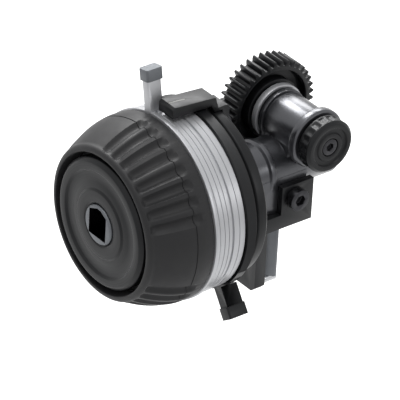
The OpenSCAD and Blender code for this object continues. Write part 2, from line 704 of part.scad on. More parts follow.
// Right-handed gear along Z, its middle plane at z = 0 with a tooth (phase 0) towards +X
module screw_gear(phase) {
    difference() {
        translate([0, 0, -screw_gear_len / 2]) rotate([0, 0, phase - screw_twist / 2])
            linear_extrude(screw_gear_len, twist = -screw_twist, slices = screw_slices)
                polygon(screw_outline);
        translate([0, 0, -screw_gear_len]) cylinder(r = shaft_r + seat, h = 2 * screw_gear_len);
    }
}
module wheel_screw_gear() {
    color("#b08d57") place() translate([0, drive_y, 0]) rotate([-90, 0, 0]) screw_gear(90);
}
module drive_screw_gear() {
    color("#b08d57") place() translate([0, drive_y, drive_z]) rotate([0, 90, 0])
        screw_gear(180 / screw_teeth);
}

// ---- Drive shaft, gear and lock
module drive_shaft() {
    color("silver") place() difference() {
        drive_rod(drive_shaft_x0, drive_shaft_x1, shaft_r);
        drive_rod(drive_shaft_x0 - 1, drive_shaft_x1 + 1, bolt_r + seat);
    }
}

gear_pitch_r = gear_module * gear_teeth / 2;
gear_base_r = gear_pitch_r * cos(pressure_angle);
gear_half_pitch = 90 / gear_teeth - 0.1;
function gear_half(r) = gear_half_pitch + involute(pressure_angle)
    - (r > gear_base_r ? involute(acos(gear_base_r / r)) : 0);
gear_radii = [gear_root_r, gear_pitch_r - 0.1, gear_tip_r - 0.15, gear_tip_r];
function gear_flank(i) = gear_half(gear_radii[i]) * (i == 3 ? 0.75 : 1);
gear_outline = [for (k = [0:gear_teeth - 1]) let (a = 360 / gear_teeth * k)
    each concat([for (i = [0:3]) polar(gear_radii[i], a - gear_flank(i))],
        [for (i = [3:-1:0]) polar(gear_radii[i], a + gear_flank(i))])];

module drive_gear() {
    dish_r = gear_root_r - gear_rim;
    color("#4c4c4c") place() difference() {
        translate([gear_x0, drive_y, drive_z]) rotate([0, 90, 0])
            linear_extrude(gear_len) polygon(gear_outline);
        drive_rod(gear_x0 - 1, gear_x1 + 1, shaft_r + seat);
        // dish on the inner side, with a raised hub
        turned_x([[gear_hub_r, gear_x1 - gear_dish], [dish_r - 0.6, gear_x1 - gear_dish],
            [dish_r, gear_x1 - gear_dish + 0.6], [dish_r, gear_x1 - 0.4], [dish_r + 0.4, gear_x1 + 1],
            [gear_hub_r, gear_x1 + 1]]);
        // shallow dish and plate seat on the outer side
        turned_x([[0, gear_x0 - 1], [dish_r, gear_x0 - 1], [dish_r, gear_x0 + 0.8],
            [clamp_plate_r + 1.2, gear_x0 + 0.8], [clamp_plate_r + 0.3, gear_x0 + clamp_plate_len],
            [0, gear_x0 + clamp_plate_len]]);
    }
}

module gear_clamp_plate() {
    color("#8a8a8a") place() difference() {
        turned_x([[0, gear_x0], [clamp_plate_r - 0.4, gear_x0], [clamp_plate_r, gear_x0 + 0.4],
            [clamp_plate_r, gear_x0 + clamp_plate_len - face],
            [0, gear_x0 + clamp_plate_len - face]]);
        drive_rod(gear_x0 - 1, gear_x0 + clamp_plate_len, bolt_r + seat);
        for (a = [0:90:270]) translate([gear_x0 - 1, drive_y, drive_z]) rotate([0, 90, 0])
            rotate([0, 0, a]) translate([3.9, 0, 0]) cylinder(r = 0.6, h = 1.8);
    }
}

module clip_x(x0) {
    turned_x([[shaft_r + seat, x0], [clip_r, x0], [clip_r, x0 + clip_len],
        [shaft_r + seat, x0 + clip_len]]);
}
module drive_shaft_clips() {
    color("dimgray") place() {
        clip_x(drive_bearing_x + bearing_len + 0.3);
        clip_x(gear_x1 + 0.2);
    }
}

module lock_knob() {
    flute_r = 1.1;
    color("#2c2c2c") place() difference() {
        turned_x([[bolt_r + seat, knob_x0], [knob_r - 0.8, knob_x0], [knob_r, knob_x0 + 0.8],
            [knob_r, knob_x1 - 1], [knob_r - 1, knob_x1], [knob_r * 0.72, knob_x1],
            [knob_r * 0.7, knob_x1 - 0.7], [knob_r * 0.52, knob_x1 - 0.7],
            [knob_r * 0.5, knob_x1 - 0.2], [bolt_head_r + 0.3, knob_x1 - 0.2],
            [bolt_head_r + 0.3, knob_x1 - bolt_head_len - 0.4],
            [bolt_r + seat, knob_x1 - bolt_head_len - 0.4]]);
        for (i = [0:knob_flutes - 1]) translate([0, drive_y, drive_z])
            rotate([i * 360 / knob_flutes, 0, 0]) translate([knob_x0 + 1.4, knob_r + flute_r * 0.55, 0])
                rotate([0, 90, 0]) cylinder(r = flute_r, h = knob_len, $fn = 24);
    }
}

module lock_bolt() {
    head_x = knob_x1 - bolt_head_len - 0.4 + seat;
    color("gray") place() difference() {
        union() {
            drive_rod(head_x, head_x + bolt_head_len, bolt_head_r);
            drive_rod(gear_x0 + 0.2, head_x + eps, bolt_r);
        }
        translate([head_x + 0.8, drive_y, drive_z]) rotate([0, 90, 0])
            cylinder(r = 1.45, h = bolt_head_len, $fn = 6);
    }
}

// ---- Bracket and rail
module mount_bracket() {
    cheek_y0 = cheek_screw_y - cheek_half_y;
    cheek_y1 = foot_y1 + cheek_over;
    cheek_z1 = cheek_screw_z + cheek_half_z;
    color("#2a2a2a") place() difference() {
        union() {
            block(-foot_half, cheek_out, foot_y0, cheek_y1, plate_z0, foot_z - face);
            block(foot_half + face, cheek_out, cheek_y0, cheek_y1, plate_z0, cheek_z1);
            block(-rail_w / 2, rail_w / 2, hanger_y0, hanger_y1, hanger_z0, plate_z0 + 1);
            // web that stiffens the corner in front of the hanger
            translate([-2, 0, 0]) rotate([90, 0, 90]) linear_extrude(4)
                polygon([[foot_y0 + 1, plate_z0 + 1], [hanger_y0 + 1, plate_z0 + 1],
                    [hanger_y0 + 1, plate_z0 - 9], [hanger_y0, plate_z0 - 9]]);
        }
        rod_x(foot_half - 1, cheek_out + 1, m4[0] + seat, cheek_screw_y, cheek_screw_z);
        for (y = foot_screw_y) {
            rod_z(plate_z0 - 1, foot_z + 1, m3[0] + seat, 0, y);
            rod_z(plate_z0 - 1, plate_z0 + m3_seat, m3[1] + seat, 0, y);
        }
        rod_y(hanger_y0 - 10, hanger_y1 + 1, rail_thread_d / 2, 0, rail_mid_z);
        for (s = [-1, 1]) {
            rod_y(hanger_y1 - rail_thread_grip - tap_rest, hanger_y1 + 1, m3_low[0] + seat, 0,
                rail_mid_z + s * rail_screw_pitch / 2);
            rod_y(hanger_y1 - stop_pin_depth - 0.2, hanger_y1 + 1, stop_pin_r + seat,
                s * stop_pin_x, stop_pin_z);
        }
        // cut-off lower corners
        for (s = [-1, 1]) translate([s * rail_w / 2, hanger_y0 - 1, hanger_z0]) rotate([-90, 0, 0])
            cylinder(r = corner_cut, h = bracket_t + 2, $fn = 4);
    }
}

module cheek_screw() {
    color("#4a4a4a") place() translate([cheek_out + seat, cheek_screw_y, cheek_screw_z])
        rotate([0, 0, 90]) screw_y(m4, cheek_out - foot_half + thread_grip);
}

module foot_screws() {
    color("gray") place() for (y = foot_screw_y) translate([0, y, plate_z0 + m3_seat - seat])
        rotate([90, 0, 0]) screw_y(m3, foot_z - plate_z0 - m3_seat + thread_grip - tap_rest);
}

module dovetail_rail() {
    y0 = hanger_y1 + seat;
    color("#8f9296") place() difference() {
        translate([0, 0, rail_bottom_z]) linear_extrude(rail_len) polygon([
            [-rail_neck_w / 2, y0], [rail_neck_w / 2, y0], [rail_neck_w / 2, y0 + rail_neck_len],
            [rail_w / 2, rail_face_y - 0.9], [rail_w / 2, rail_face_y],
            [-rail_w / 2, rail_face_y], [-rail_w / 2, rail_face_y - 0.9],
            [-rail_neck_w / 2, y0 + rail_neck_len]]);
        rod_y(y0 - 1, rail_face_y + 1, rail_thread_d / 2, 0, rail_mid_z);
        for (s = [-1, 1]) {
            rod_y(y0 - 1, rail_face_y + 1, m3_low[0] + seat, 0,
                rail_mid_z + s * rail_screw_pitch / 2);
            rod_y(rail_face_y - m3_low_seat, rail_face_y + 1, m3_low[1] + seat, 0,
                rail_mid_z + s * rail_screw_pitch / 2);
        }
    }
}

module rail_screws() {
    color("gray") place() for (s = [-1, 1])
        translate([0, rail_face_y - m3_low_seat + seat, rail_mid_z + s * rail_screw_pitch / 2])
            mirror([0, 1, 0]) screw_y(m3_low, rail_len_y - m3_low_seat + rail_thread_grip);
}

module rail_stop_pins() {
    color("silver") place() for (s = [-1, 1])
        rod_y(hanger_y1 - stop_pin_depth, rail_face_y + stop_pin_out, stop_pin_r, s * stop_pin_x,
            stop_pin_z);
}

gearbox_body();
front_flange();
flange_screws();
rear_cover();
rear_cover_screws();
side_bearing_cap();
gear_side_ring();
pointer_arm();
pointer_line();
pointer_screws();
wheel_bearing_front();
wheel_bearing_rear();
drive_bearing_gear_side();
drive_bearing_knob_side();
drag_washer();
mount_bracket();
cheek_screw();
foot_screws();
dovetail_rail();
rail_screws();
rail_stop_pins();
wheel_hub();
grip_sleeve();
front_cap();
whip_socket();
marker_ring();
drum_retainer();
wheel_shaft();
hub_pin();
wheel_screw_gear();
wheel_shaft_clips();
stop_a_ring();
stop_a_pad();
stop_b_ring();
stop_b_pad();
drive_shaft();
drive_screw_gear();
drive_gear();
gear_clamp_plate();
drive_shaft_clips();
lock_knob();
lock_bolt();
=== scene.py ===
"""Follow focus unit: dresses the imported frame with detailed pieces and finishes, and sets a studio.

Lengths are written in millimetres and turned to metres by mm(), apart from those of the studio,
which are in metres. The wheel turns about the Y axis through WHEEL and the drive gear about the
X axis through DRIVE.
"""
import json
import math

import bmesh
import bpy
from bpy.props import FloatProperty, FloatVectorProperty, IntProperty, PointerProperty
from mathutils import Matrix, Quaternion, Vector


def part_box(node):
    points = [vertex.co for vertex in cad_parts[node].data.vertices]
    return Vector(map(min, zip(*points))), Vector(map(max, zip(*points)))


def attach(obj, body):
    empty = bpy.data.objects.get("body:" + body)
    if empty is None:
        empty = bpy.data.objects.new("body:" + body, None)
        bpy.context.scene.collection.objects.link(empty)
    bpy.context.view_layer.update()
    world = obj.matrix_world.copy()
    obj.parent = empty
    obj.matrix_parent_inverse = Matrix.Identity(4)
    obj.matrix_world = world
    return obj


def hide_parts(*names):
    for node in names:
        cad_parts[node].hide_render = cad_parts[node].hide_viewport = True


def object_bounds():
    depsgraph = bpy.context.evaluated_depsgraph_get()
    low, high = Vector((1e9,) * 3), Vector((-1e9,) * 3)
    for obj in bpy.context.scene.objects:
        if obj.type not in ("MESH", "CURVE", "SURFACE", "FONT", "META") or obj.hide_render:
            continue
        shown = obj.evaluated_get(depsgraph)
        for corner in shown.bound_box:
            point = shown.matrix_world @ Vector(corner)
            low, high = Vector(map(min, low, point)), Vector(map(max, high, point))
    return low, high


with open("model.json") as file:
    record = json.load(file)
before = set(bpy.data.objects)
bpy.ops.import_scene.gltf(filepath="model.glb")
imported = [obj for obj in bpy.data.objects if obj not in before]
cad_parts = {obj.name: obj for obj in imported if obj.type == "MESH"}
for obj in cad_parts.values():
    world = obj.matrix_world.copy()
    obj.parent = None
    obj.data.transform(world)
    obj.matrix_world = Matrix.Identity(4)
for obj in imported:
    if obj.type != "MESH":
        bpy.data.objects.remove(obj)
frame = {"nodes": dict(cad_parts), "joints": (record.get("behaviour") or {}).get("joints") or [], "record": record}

bl_info = {
    "name": "Follow Focus Unit",
    "version": (1, 0, 0),
    "blender": (4, 5, 0),
    "location": "3D View > Sidebar > Follow Focus",
    "description": "Models the grip, rings, gear and knob of a follow focus unit and finishes every part",
    "category": "Add Mesh",
}

CAD_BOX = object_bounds()


def mm(length):
    """A length in millimetres as metres."""
    return length * 0.001


def joint_point(name):
    """A point on the axis of one of the frame's joints."""
    return Vector(next(j for j in frame["joints"] if j["name"] == name)["pos_m"])


WHEEL = joint_point("handwheel_turn")
DRIVE = joint_point("drive_turn")
BODY_OF = {node: body for body, nodes in frame["record"]["behaviour"]["bodies"].items() for node in nodes}
MERGE = mm(0.0005)  # points closer than this are one point
FLAT_DEGREES = 0.4  # faces closer in direction than this are one face
SHARP_DEGREES = 30  # edges sharper than this stay sharp or are rounded
FINE_STEPS = 192


def span(node, axis):
    """The lowest and highest coordinate of a node along one axis, as 0, 1 or 2."""
    low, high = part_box(node)
    return low[axis], high[axis]


def radius(node, axis=2):
    """Half of a node's width along an axis, which is the radius of a round node."""
    low, high = span(node, axis)
    return (high - low) / 2


# ---- Sizes and colours that a user would change


def linear(hex_colour):
    """An sRGB hex colour as the linear colour that a shader takes."""
    def channel(start):
        value = int(hex_colour[start:start + 2], 16) / 255
        return value / 12.92 if value <= 0.04045 else ((value + 0.055) / 1.055) ** 2.4
    return (channel(1), channel(3), channel(5), 1.0)


def length(name, description, default):
    """A size property in metres."""
    return FloatProperty(name=name, description=description, default=default, unit="LENGTH", precision=5)


def colour(name, description, hex_colour):
    """A colour property whose default is an sRGB hex colour."""
    return FloatVectorProperty(name=name, description=description, default=linear(hex_colour),
                               subtype="COLOR", size=4, min=0, max=1)


class GripSizes(bpy.types.PropertyGroup):
    drop: length("Drop", "How much smaller the radius is at the front shoulder", mm(4.2))
    rim: length("Rear rim", "Length of the plain rim behind the ribs", mm(3.6))
    straight: length("Straight part", "Length of the straight part behind the taper", mm(3.4))
    line: length("Line", "Distance of the fine line from the rear edge", mm(6.3))
    wall: length("Wall", "Thickness of the rubber", mm(2.5))
    edge: length("Front edge", "Radius of the round front edge", mm(1.8))
    groove_depth: length("Groove depth", "Depth of a groove at its middle", mm(1.3))
    groove_share: FloatProperty(name="Groove share", description="Share of the pitch that a groove takes",
                                default=0.74, min=0.3, max=0.9)
    sectors: IntProperty(name="Sectors", description="Ribbed sectors round the grip", default=3)
    grooves: IntProperty(name="Grooves", description="Grooves in each sector", default=8)
    pitch: FloatProperty(name="Pitch", description="Angle from groove to groove",
                         default=math.radians(10), unit="ROTATION")
    start: FloatProperty(name="Start", description="Middle of the first sector, from the top",
                         default=math.radians(33), unit="ROTATION")


class KnobSizes(bpy.types.PropertyGroup):
    flutes: IntProperty(name="Flutes", description="Flutes round the lock knob", default=20)
    flute_depth: length("Flute depth", "Depth of a flute", mm(0.35))


class EdgeSizes(bpy.types.PropertyGroup):
    casting: length("Body edges", "Rounding of the gearbox's edges", mm(0.35))
    plate: length("Plate edges", "Rounding of the bracket's and pointer's edges", mm(0.3))
    turned: length("Turned edges", "Rounding of turned rims", mm(0.16))
    small: length("Small edges", "Rounding of screws, gears and rails", mm(0.1))


class Colours(bpy.types.PropertyGroup):
    anodised_black: colour("Black anodising", "Bead-blasted and dyed black", "#18191b")
    # the gearbox's grey is partly painted light: it is lighter than the black parts to stand in for the lamp light
    # on the gearbox
    anodised_satin_painted_light: colour("Satin anodising", "The gearbox's dark grey satin skin", "#4b4c50")
    anodised_clear: colour("Clear anodising", "Turned and anodised without dye", "#c0c1c4")
    anodised_grey: colour("Grey anodising", "Hard anodising on rail and socket", "#6c6f73")
    rubber: colour("Rubber", "Moulded grip rubber", "#18181a")
    steel: colour("Steel", "Ground shafts and bearings", "#c3c4c6")
    oxide: colour("Black oxide", "Blackened screws", "#3a3a3d")
    brass: colour("Brass", "Screw gears", "#c3a25c")
    acetal: colour("Acetal", "Brown drag washer", "#6f5a44")
    paint: colour("Paint", "Worn white paint in the index line", "#9d9d99")
    floor: colour("Floor", "Plain studio floor", "#f7f7f7")


class Studio(bpy.types.PropertyGroup):
    azimuth: FloatProperty(name="Azimuth", description="Camera direction round the object",
                           default=math.radians(50.93), unit="ROTATION")
    elevation: FloatProperty(name="Elevation", description="Camera height as an angle",
                             default=math.radians(31.79), unit="ROTATION")
    roll: FloatProperty(name="Roll", description="Tilt of the camera about its view",
                        default=math.radians(3.18), unit="ROTATION")
    distance: length("Distance", "Camera to target", 1.3284)
    lens: FloatProperty(name="Lens", description="Focal length in millimetres", default=396.0)
    target: FloatVectorProperty(name="Target", description="Point that the camera looks at",
                                default=(0.00678, -0.03103, 0.02834), subtype="TRANSLATION")
    floor_gap: length("Floor gap", "Space between the object and the floor", mm(150))
    backdrop: FloatProperty(name="Backdrop", description="Paleness added to the floor for the camera",
                            default=0.4)
    sky: FloatProperty(name="Sky", description="Strength of the even light", default=0.36)


class FollowFocusSettings(bpy.types.PropertyGroup):
    grip: PointerProperty(type=GripSizes)
    knob: PointerProperty(type=KnobSizes)
    edges: PointerProperty(type=EdgeSizes)
    colours: PointerProperty(type=Colours)
    studio: PointerProperty(type=Studio)


def settings():
    return bpy.context.scene.follow_focus


# ---- Materials


def add_node(tree, kind, inputs=None, **attributes):
    """Adds a node, sets its attributes, and sets or links its inputs."""
    node = tree.nodes.new(kind)
    for name, value in attributes.items():
        setattr(node, name, value)
    for name, value in (inputs or {}).items():
        if isinstance(value, bpy.types.NodeSocket):
            tree.links.new(value, node.inputs[name])
        else:
            node.inputs[name].default_value = value
    return node


def per(feature_mm):
    """The texture scale at which one feature is that many millimetres wide."""
    return 1000.0 / feature_mm


def new_material(name):
    material = bpy.data.materials.new(name)
    material.use_nodes = True
    material.node_tree.nodes.clear()
    return material


def noise(tree, place, feature_mm, detail=3.0):
    """A noise value from 0 to 1 whose features have a real size."""
    return add_node(tree, "ShaderNodeTexNoise", {
        "Vector": place, "Scale": per(feature_mm), "Detail": detail, "Roughness": 0.55}).outputs["Fac"]


def spread(tree, value, low, high):
    """Maps a noise value, mostly 0.3 to 0.7, to a range."""
    return add_node(tree, "ShaderNodeMapRange", {
        "Value": value, "From Min": 0.3, "From Max": 0.7, "To Min": low, "To Max": high}).outputs["Result"]


def shade(tree, colour_value, amount, value):
    """The colour, darker and lighter by a share that a noise value drives."""
    dark = tuple(c * (1 - amount) for c in colour_value[:3]) + (1,)
    light = tuple(min(c * (1 + amount), 1) for c in colour_value[:3]) + (1,)
    mix = add_node(tree, "ShaderNodeMix", {"Factor": value}, data_type="RGBA")
    mix.inputs["A"].default_value = dark
    mix.inputs["B"].default_value = light
    return mix.outputs["Result"]


def bumps(tree, height, depth_mm):
    return add_node(tree, "ShaderNodeBump", {
        "Height": height, "Distance": mm(depth_mm), "Strength": 1.0}).outputs["Normal"]


def finish_off(material, shader_inputs):
    """Adds the shader and the output."""
    tree = material.node_tree
    shader = add_node(tree, "ShaderNodeBsdfPrincipled", shader_inputs)
    add_node(tree, "ShaderNodeOutputMaterial", {"Surface": shader.outputs["BSDF"]})
    return material


def position(tree):
    return add_node(tree, "ShaderNodeTexCoord").outputs["Object"]


def turning(tree, centre, axis):
    """Grows along the axis and outwards from it, so that lines of it run round a turned part."""
    away = [1.0, 1.0, 1.0]
    away[axis] = 0.0
    along = [0.0, 0.0, 0.0]
    along[axis] = 1.0
    place = add_node(tree, "ShaderNodeVectorMath", {0: position(tree), 1: centre}, operation="SUBTRACT")
    across = add_node(tree, "ShaderNodeVectorMath", {0: place.outputs[0], 1: away}, operation="MULTIPLY")
    out = add_node(tree, "ShaderNodeVectorMath", {0: across.outputs[0]}, operation="LENGTH")
    station = add_node(tree, "ShaderNodeVectorMath", {0: place.outputs[0], 1: along}, operation="DOT_PRODUCT")
    total = add_node(tree, "ShaderNodeMath", {0: out.outputs["Value"], 1: station.outputs["Value"]})
    return total.outputs[0]


def tool_lines(tree, centre, axis, feature_mm):
    """Fine lines left by a lathe tool."""
    return add_node(tree, "ShaderNodeTexNoise", {
        "W": turning(tree, centre, axis), "Scale": per(feature_mm), "Detail": 2.0},
        noise_dimensions="1D").outputs["Fac"]


def black_anodised():
    """Black anodised aluminium, bead-blasted: a dark skin with a soft sheen and a fine even grain.
    The real grain is about 0.05 mm and is drawn at 0.3 mm so that it shows."""
    material = new_material("black_anodised_aluminium")
    tree = material.node_tree
    place = position(tree)
    grain = noise(tree, place, 0.3)
    cloud = noise(tree, place, 7.0)
    return finish_off(material, {
        "Base Color": shade(tree, settings().colours.anodised_black, 0.22, cloud),
        "Metallic": 0.35, "Roughness": spread(tree, cloud, 0.36, 0.46),
        "Normal": bumps(tree, grain, 0.012)})


def satin_grey_and_painted_light(name, centre, axis):
    """Satin black anodising on the gearbox: a dark grey skin that lamps draw bright bands across, over
    fine lines round the part. The grey is lighter than the other black parts. This is partly the skin's own tone
    and partly painted light that stands in for the lamp light the gearbox catches. The tool's feed is about 0.1 mm
    and is drawn at 0.35 mm so that it shows."""
    material = new_material(name)
    tree = material.node_tree
    lines = tool_lines(tree, centre, axis, 0.35)
    cloud = noise(tree, position(tree), 6.0)
    return finish_off(material, {
        # painted light in part: this grey base is lighter than the black parts to stand in for the lamp light on
        # the gearbox
        "Base Color": shade(tree, settings().colours.anodised_satin_painted_light, 0.18, cloud),
        "Metallic": 0.75, "Roughness": spread(tree, cloud, 0.27, 0.36),
        "Coat Weight": 0.6, "Coat Roughness": 0.24,
        "Normal": bumps(tree, lines, 0.006)})


def black_turned(name, centre, axis):
    """Black anodised aluminium as it leaves the lathe: the same skin over fine lines round the part.
    The tool's feed is about 0.1 mm and is drawn at 0.35 mm so that it shows."""
    material = new_material(name)
    tree = material.node_tree
    lines = tool_lines(tree, centre, axis, 0.35)
    cloud = noise(tree, position(tree), 8.0)
    return finish_off(material, {
        "Base Color": shade(tree, settings().colours.anodised_black, 0.22, cloud),
        "Metallic": 0.3, "Roughness": spread(tree, lines, 0.32, 0.44), "Specular IOR Level": 0.35,
        "Normal": bumps(tree, lines, 0.008)})


def clear_anodised():
    """Clear anodised aluminium, turned: a pale satin metal that light draws out across fine lines.
    The tool's feed is about 0.1 mm and is drawn at 0.3 mm so that it shows."""
    material = new_material("clear_anodised_aluminium")
    tree = material.node_tree
    lines = tool_lines(tree, WHEEL, 1, 0.3)
    cloud = noise(tree, position(tree), 10.0)
    return finish_off(material, {
        "Base Color": shade(tree, settings().colours.anodised_clear, 0.06, cloud),
        "Metallic": 0.5, "Roughness": spread(tree, lines, 0.30, 0.40),
        "Normal": bumps(tree, lines, 0.01)})


def grey_anodised():
    """Hard anodised aluminium: a dense grey skin with a dull sheen and a faint grain."""
    material = new_material("hard_anodised_grey_aluminium")
    tree = material.node_tree
    place = position(tree)
    cloud = noise(tree, place, 4.0)
    grain = noise(tree, place, 0.4)
    return finish_off(material, {
        "Base Color": shade(tree, settings().colours.anodised_grey, 0.12, cloud),
        "Metallic": 0.7, "Roughness": spread(tree, grain, 0.36, 0.5),
        "Normal": bumps(tree, grain, 0.01)})


def grip_rubber():
    """Moulded nitrile rubber: dull black with a broad soft sheen and a fine pebble.
    The pebble is about 0.1 mm and is drawn at 0.35 mm so that it shows."""
    material = new_material("moulded_grip_rubber")
    tree = material.node_tree
    place = position(tree)
    pebble = noise(tree, place, 0.35, detail=4.0)
    cloud = noise(tree, place, 6.0)
    return finish_off(material, {
        "Base Color": shade(tree, settings().colours.rubber, 0.25, cloud),
        "Metallic": 0.0, "Roughness": spread(tree, cloud, 0.5, 0.62),
        "Specular IOR Level": 0.4, "Sheen Weight": 0.06, "Sheen Roughness": 0.4,
        "Normal": bumps(tree, pebble, 0.02)})


def ground_steel():
    """Ground and polished steel: bright, with faint streaks."""
    material = new_material("ground_steel")
    tree = material.node_tree
    streak = tool_lines(tree, WHEEL, 1, 0.4)
    return finish_off(material, {
        "Base Color": shade(tree, settings().colours.steel, 0.08, streak),
        "Metallic": 1.0, "Roughness": spread(tree, streak, 0.2, 0.32)})


def black_oxide():
    """Blackened steel screws: dark metal, slightly oily and uneven."""
    material = new_material("black_oxide_steel")
    tree = material.node_tree
    stain = noise(tree, position(tree), 1.5)
    return finish_off(material, {
        "Base Color": shade(tree, settings().colours.oxide, 0.3, stain),
        "Metallic": 0.85, "Roughness": spread(tree, stain, 0.26, 0.42),
        "Normal": bumps(tree, stain, 0.01)})


def machined_brass():
    """Machined brass, unevenly bright."""
    material = new_material("machined_brass")
    tree = material.node_tree
    stain = noise(tree, position(tree), 2.0)
    return finish_off(material, {
        "Base Color": shade(tree, settings().colours.brass, 0.15, stain),
        "Metallic": 1.0, "Roughness": spread(tree, stain, 0.22, 0.36)})


def brown_acetal():
    """Moulded acetal: slightly waxy plastic with a faint mottle."""
    material = new_material("brown_acetal")
    tree = material.node_tree
    mottle = noise(tree, position(tree), 1.2)
    return finish_off(material, {
        "Base Color": shade(tree, settings().colours.acetal, 0.12, mottle),
        "Roughness": spread(tree, mottle, 0.4, 0.5), "Normal": bumps(tree, mottle, 0.01)})


def white_paint():
    """White paint wiped into an engraved line and dulled by wear: matt, with an uneven surface."""
    material = new_material("white_paint")
    tree = material.node_tree
    brush = noise(tree, position(tree), 0.5)
    return finish_off(material, {
        "Base Color": shade(tree, settings().colours.paint, 0.06, brush),
        "Roughness": spread(tree, brush, 0.55, 0.7), "Normal": bumps(tree, brush, 0.02)})


FINISHES = {
    "black_blasted": black_anodised,
    "black_wheel": lambda: black_turned("black_anodised_turned_wheel", WHEEL, 1),
    "black_drive": lambda: black_turned("black_anodised_turned_drive", DRIVE, 0),
    # the gearbox's finishes: a dark grey that is partly its own tone and partly painted light
    "satin_painted_light_wheel": lambda: satin_grey_and_painted_light("satin_anodised_painted_light_neck", WHEEL, 1),
    "satin_painted_light_drive": lambda: satin_grey_and_painted_light("satin_anodised_painted_light_tube", DRIVE, 0),
    "clear": clear_anodised,
    "grey": grey_anodised,
    "rubber": grip_rubber,
    "steel": ground_steel,
    "oxide": black_oxide,
    "brass": machined_brass,
    "acetal": brown_acetal,
    "paint": white_paint,
}
made_finishes = {}


def finish(name):
    """The material of that name, made when it is first asked for."""
    if name not in made_finishes:
        made_finishes[name] = FINISHES[name]()
    return made_finishes[name]


def paint(piece, finish_name):
    piece.data.materials.clear()
    piece.data.materials.append(finish(finish_name))


# ---- Modelling helpers


def select_only(piece):
    bpy.ops.object.select_all(action="DESELECT")
    piece.select_set(True)
    bpy.context.view_layer.objects.active = piece


def skin(name, rings):
    """Draws the first ring of points and extrudes it through the other rings."""
    bpy.ops.object.select_all(action="DESELECT")
    bpy.ops.mesh.primitive_circle_add(vertices=len(rings[0]), radius=mm(1))
    piece = bpy.context.object
    piece.name = piece.data.name = name
    bpy.ops.object.mode_set(mode="EDIT")
    mesh = bmesh.from_edit_mesh(piece.data)
    around = mesh.verts.layers.int.new("around")
    for i, vertex in enumerate(mesh.verts):
        vertex[around] = i
        vertex.co = rings[0][i]
    for ring in rings[1:]:
        bmesh.update_edit_mesh(piece.data)
        bpy.ops.mesh.extrude_region_move()
        mesh = bmesh.from_edit_mesh(piece.data)
        around = mesh.verts.layers.int["around"]
        for vertex in mesh.verts:
            if vertex.select:
                vertex.co = ring[vertex[around]]
    mesh.verts.layers.int.remove(around)
    bmesh.update_edit_mesh(piece.data)
    bpy.ops.mesh.select_all(action="SELECT")
    bpy.ops.mesh.remove_doubles(threshold=MERGE)
    bpy.ops.mesh.normals_make_consistent(inside=False)
    bpy.ops.object.mode_set(mode="OBJECT")
    return piece


def wheel_ring(distance, station, steps):
    """A ring about the wheel's axis, from the top towards +X."""
    angles = [math.tau * i / steps for i in range(steps)]
    return [Vector((WHEEL.x + distance * math.sin(a), station, WHEEL.z + distance * math.cos(a)))
            for a in angles]


def drive_ring(distance, station, steps):
    """A ring about the drive gear's axis, from the top towards +Y."""
    angles = [math.tau * i / steps for i in range(steps)]
    return [Vector((station, DRIVE.y + distance * math.sin(a), DRIVE.z + distance * math.cos(a)))
            for a in angles]


def lathe(name, profile, ring, steps=FINE_STEPS):
    """A turned part from (radius, station) points, closed on itself unless it ends on the axis."""
    closed = profile if profile[0][0] < MERGE and profile[-1][0] < MERGE else profile + profile[:1]
    return skin(name, [ring(r, station, steps) for r, station in closed])


def ease_edges(piece, width, steps=2, angle=SHARP_DEGREES):
    """Rounds the sharp edges, and smooths what is left."""
    select_only(piece)
    bevel = piece.modifiers.new("eased edges", "BEVEL")
    bevel.width = width
    bevel.segments = steps
    bevel.limit_method = "ANGLE"
    bevel.angle_limit = math.radians(angle)
    bevel.use_clamp_overlap = True
    bpy.ops.object.modifier_apply(modifier=bevel.name)
    bpy.ops.object.shade_smooth_by_angle(angle=math.radians(angle))
    return piece


def eased_copy(node, name, width, steps=2):
    """A copy of a machined piece of the frame with its sharp edges rounded."""
    piece = bpy.data.objects.new(name, frame["nodes"][node].data.copy())
    bpy.context.scene.collection.objects.link(piece)
    select_only(piece)
    bpy.ops.object.mode_set(mode="EDIT")
    bpy.ops.mesh.select_all(action="SELECT")
    bpy.ops.mesh.remove_doubles(threshold=MERGE)
    bpy.ops.mesh.dissolve_limited(angle_limit=math.radians(FLAT_DEGREES))
    bpy.ops.object.mode_set(mode="OBJECT")
    return ease_edges(piece, width, steps)


def install(piece, node, finish_name):
    """Seats a piece on its body in place of a node of the frame, and gives it its finish."""
    paint(piece, finish_name)
    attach(piece, BODY_OF[node])
    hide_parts(node)
    return piece


def dress(node, finish_name, width, steps=2):
    """Replaces a node of the frame by its copy with rounded edges."""
    return install(eased_copy(node, node + "_finished", width, steps), node, finish_name)


def finish_frame_piece(node, finish_name):
    """Keeps a node of the frame as it is, with a better finish."""
    piece = frame["nodes"][node]
    paint(piece, finish_name)
    select_only(piece)
    bpy.ops.object.shade_smooth_by_angle(angle=math.radians(SHARP_DEGREES))


# ---- Pieces


class Piece:
    """What every operator here shares."""
    bl_options = {"REGISTER", "UNDO"}


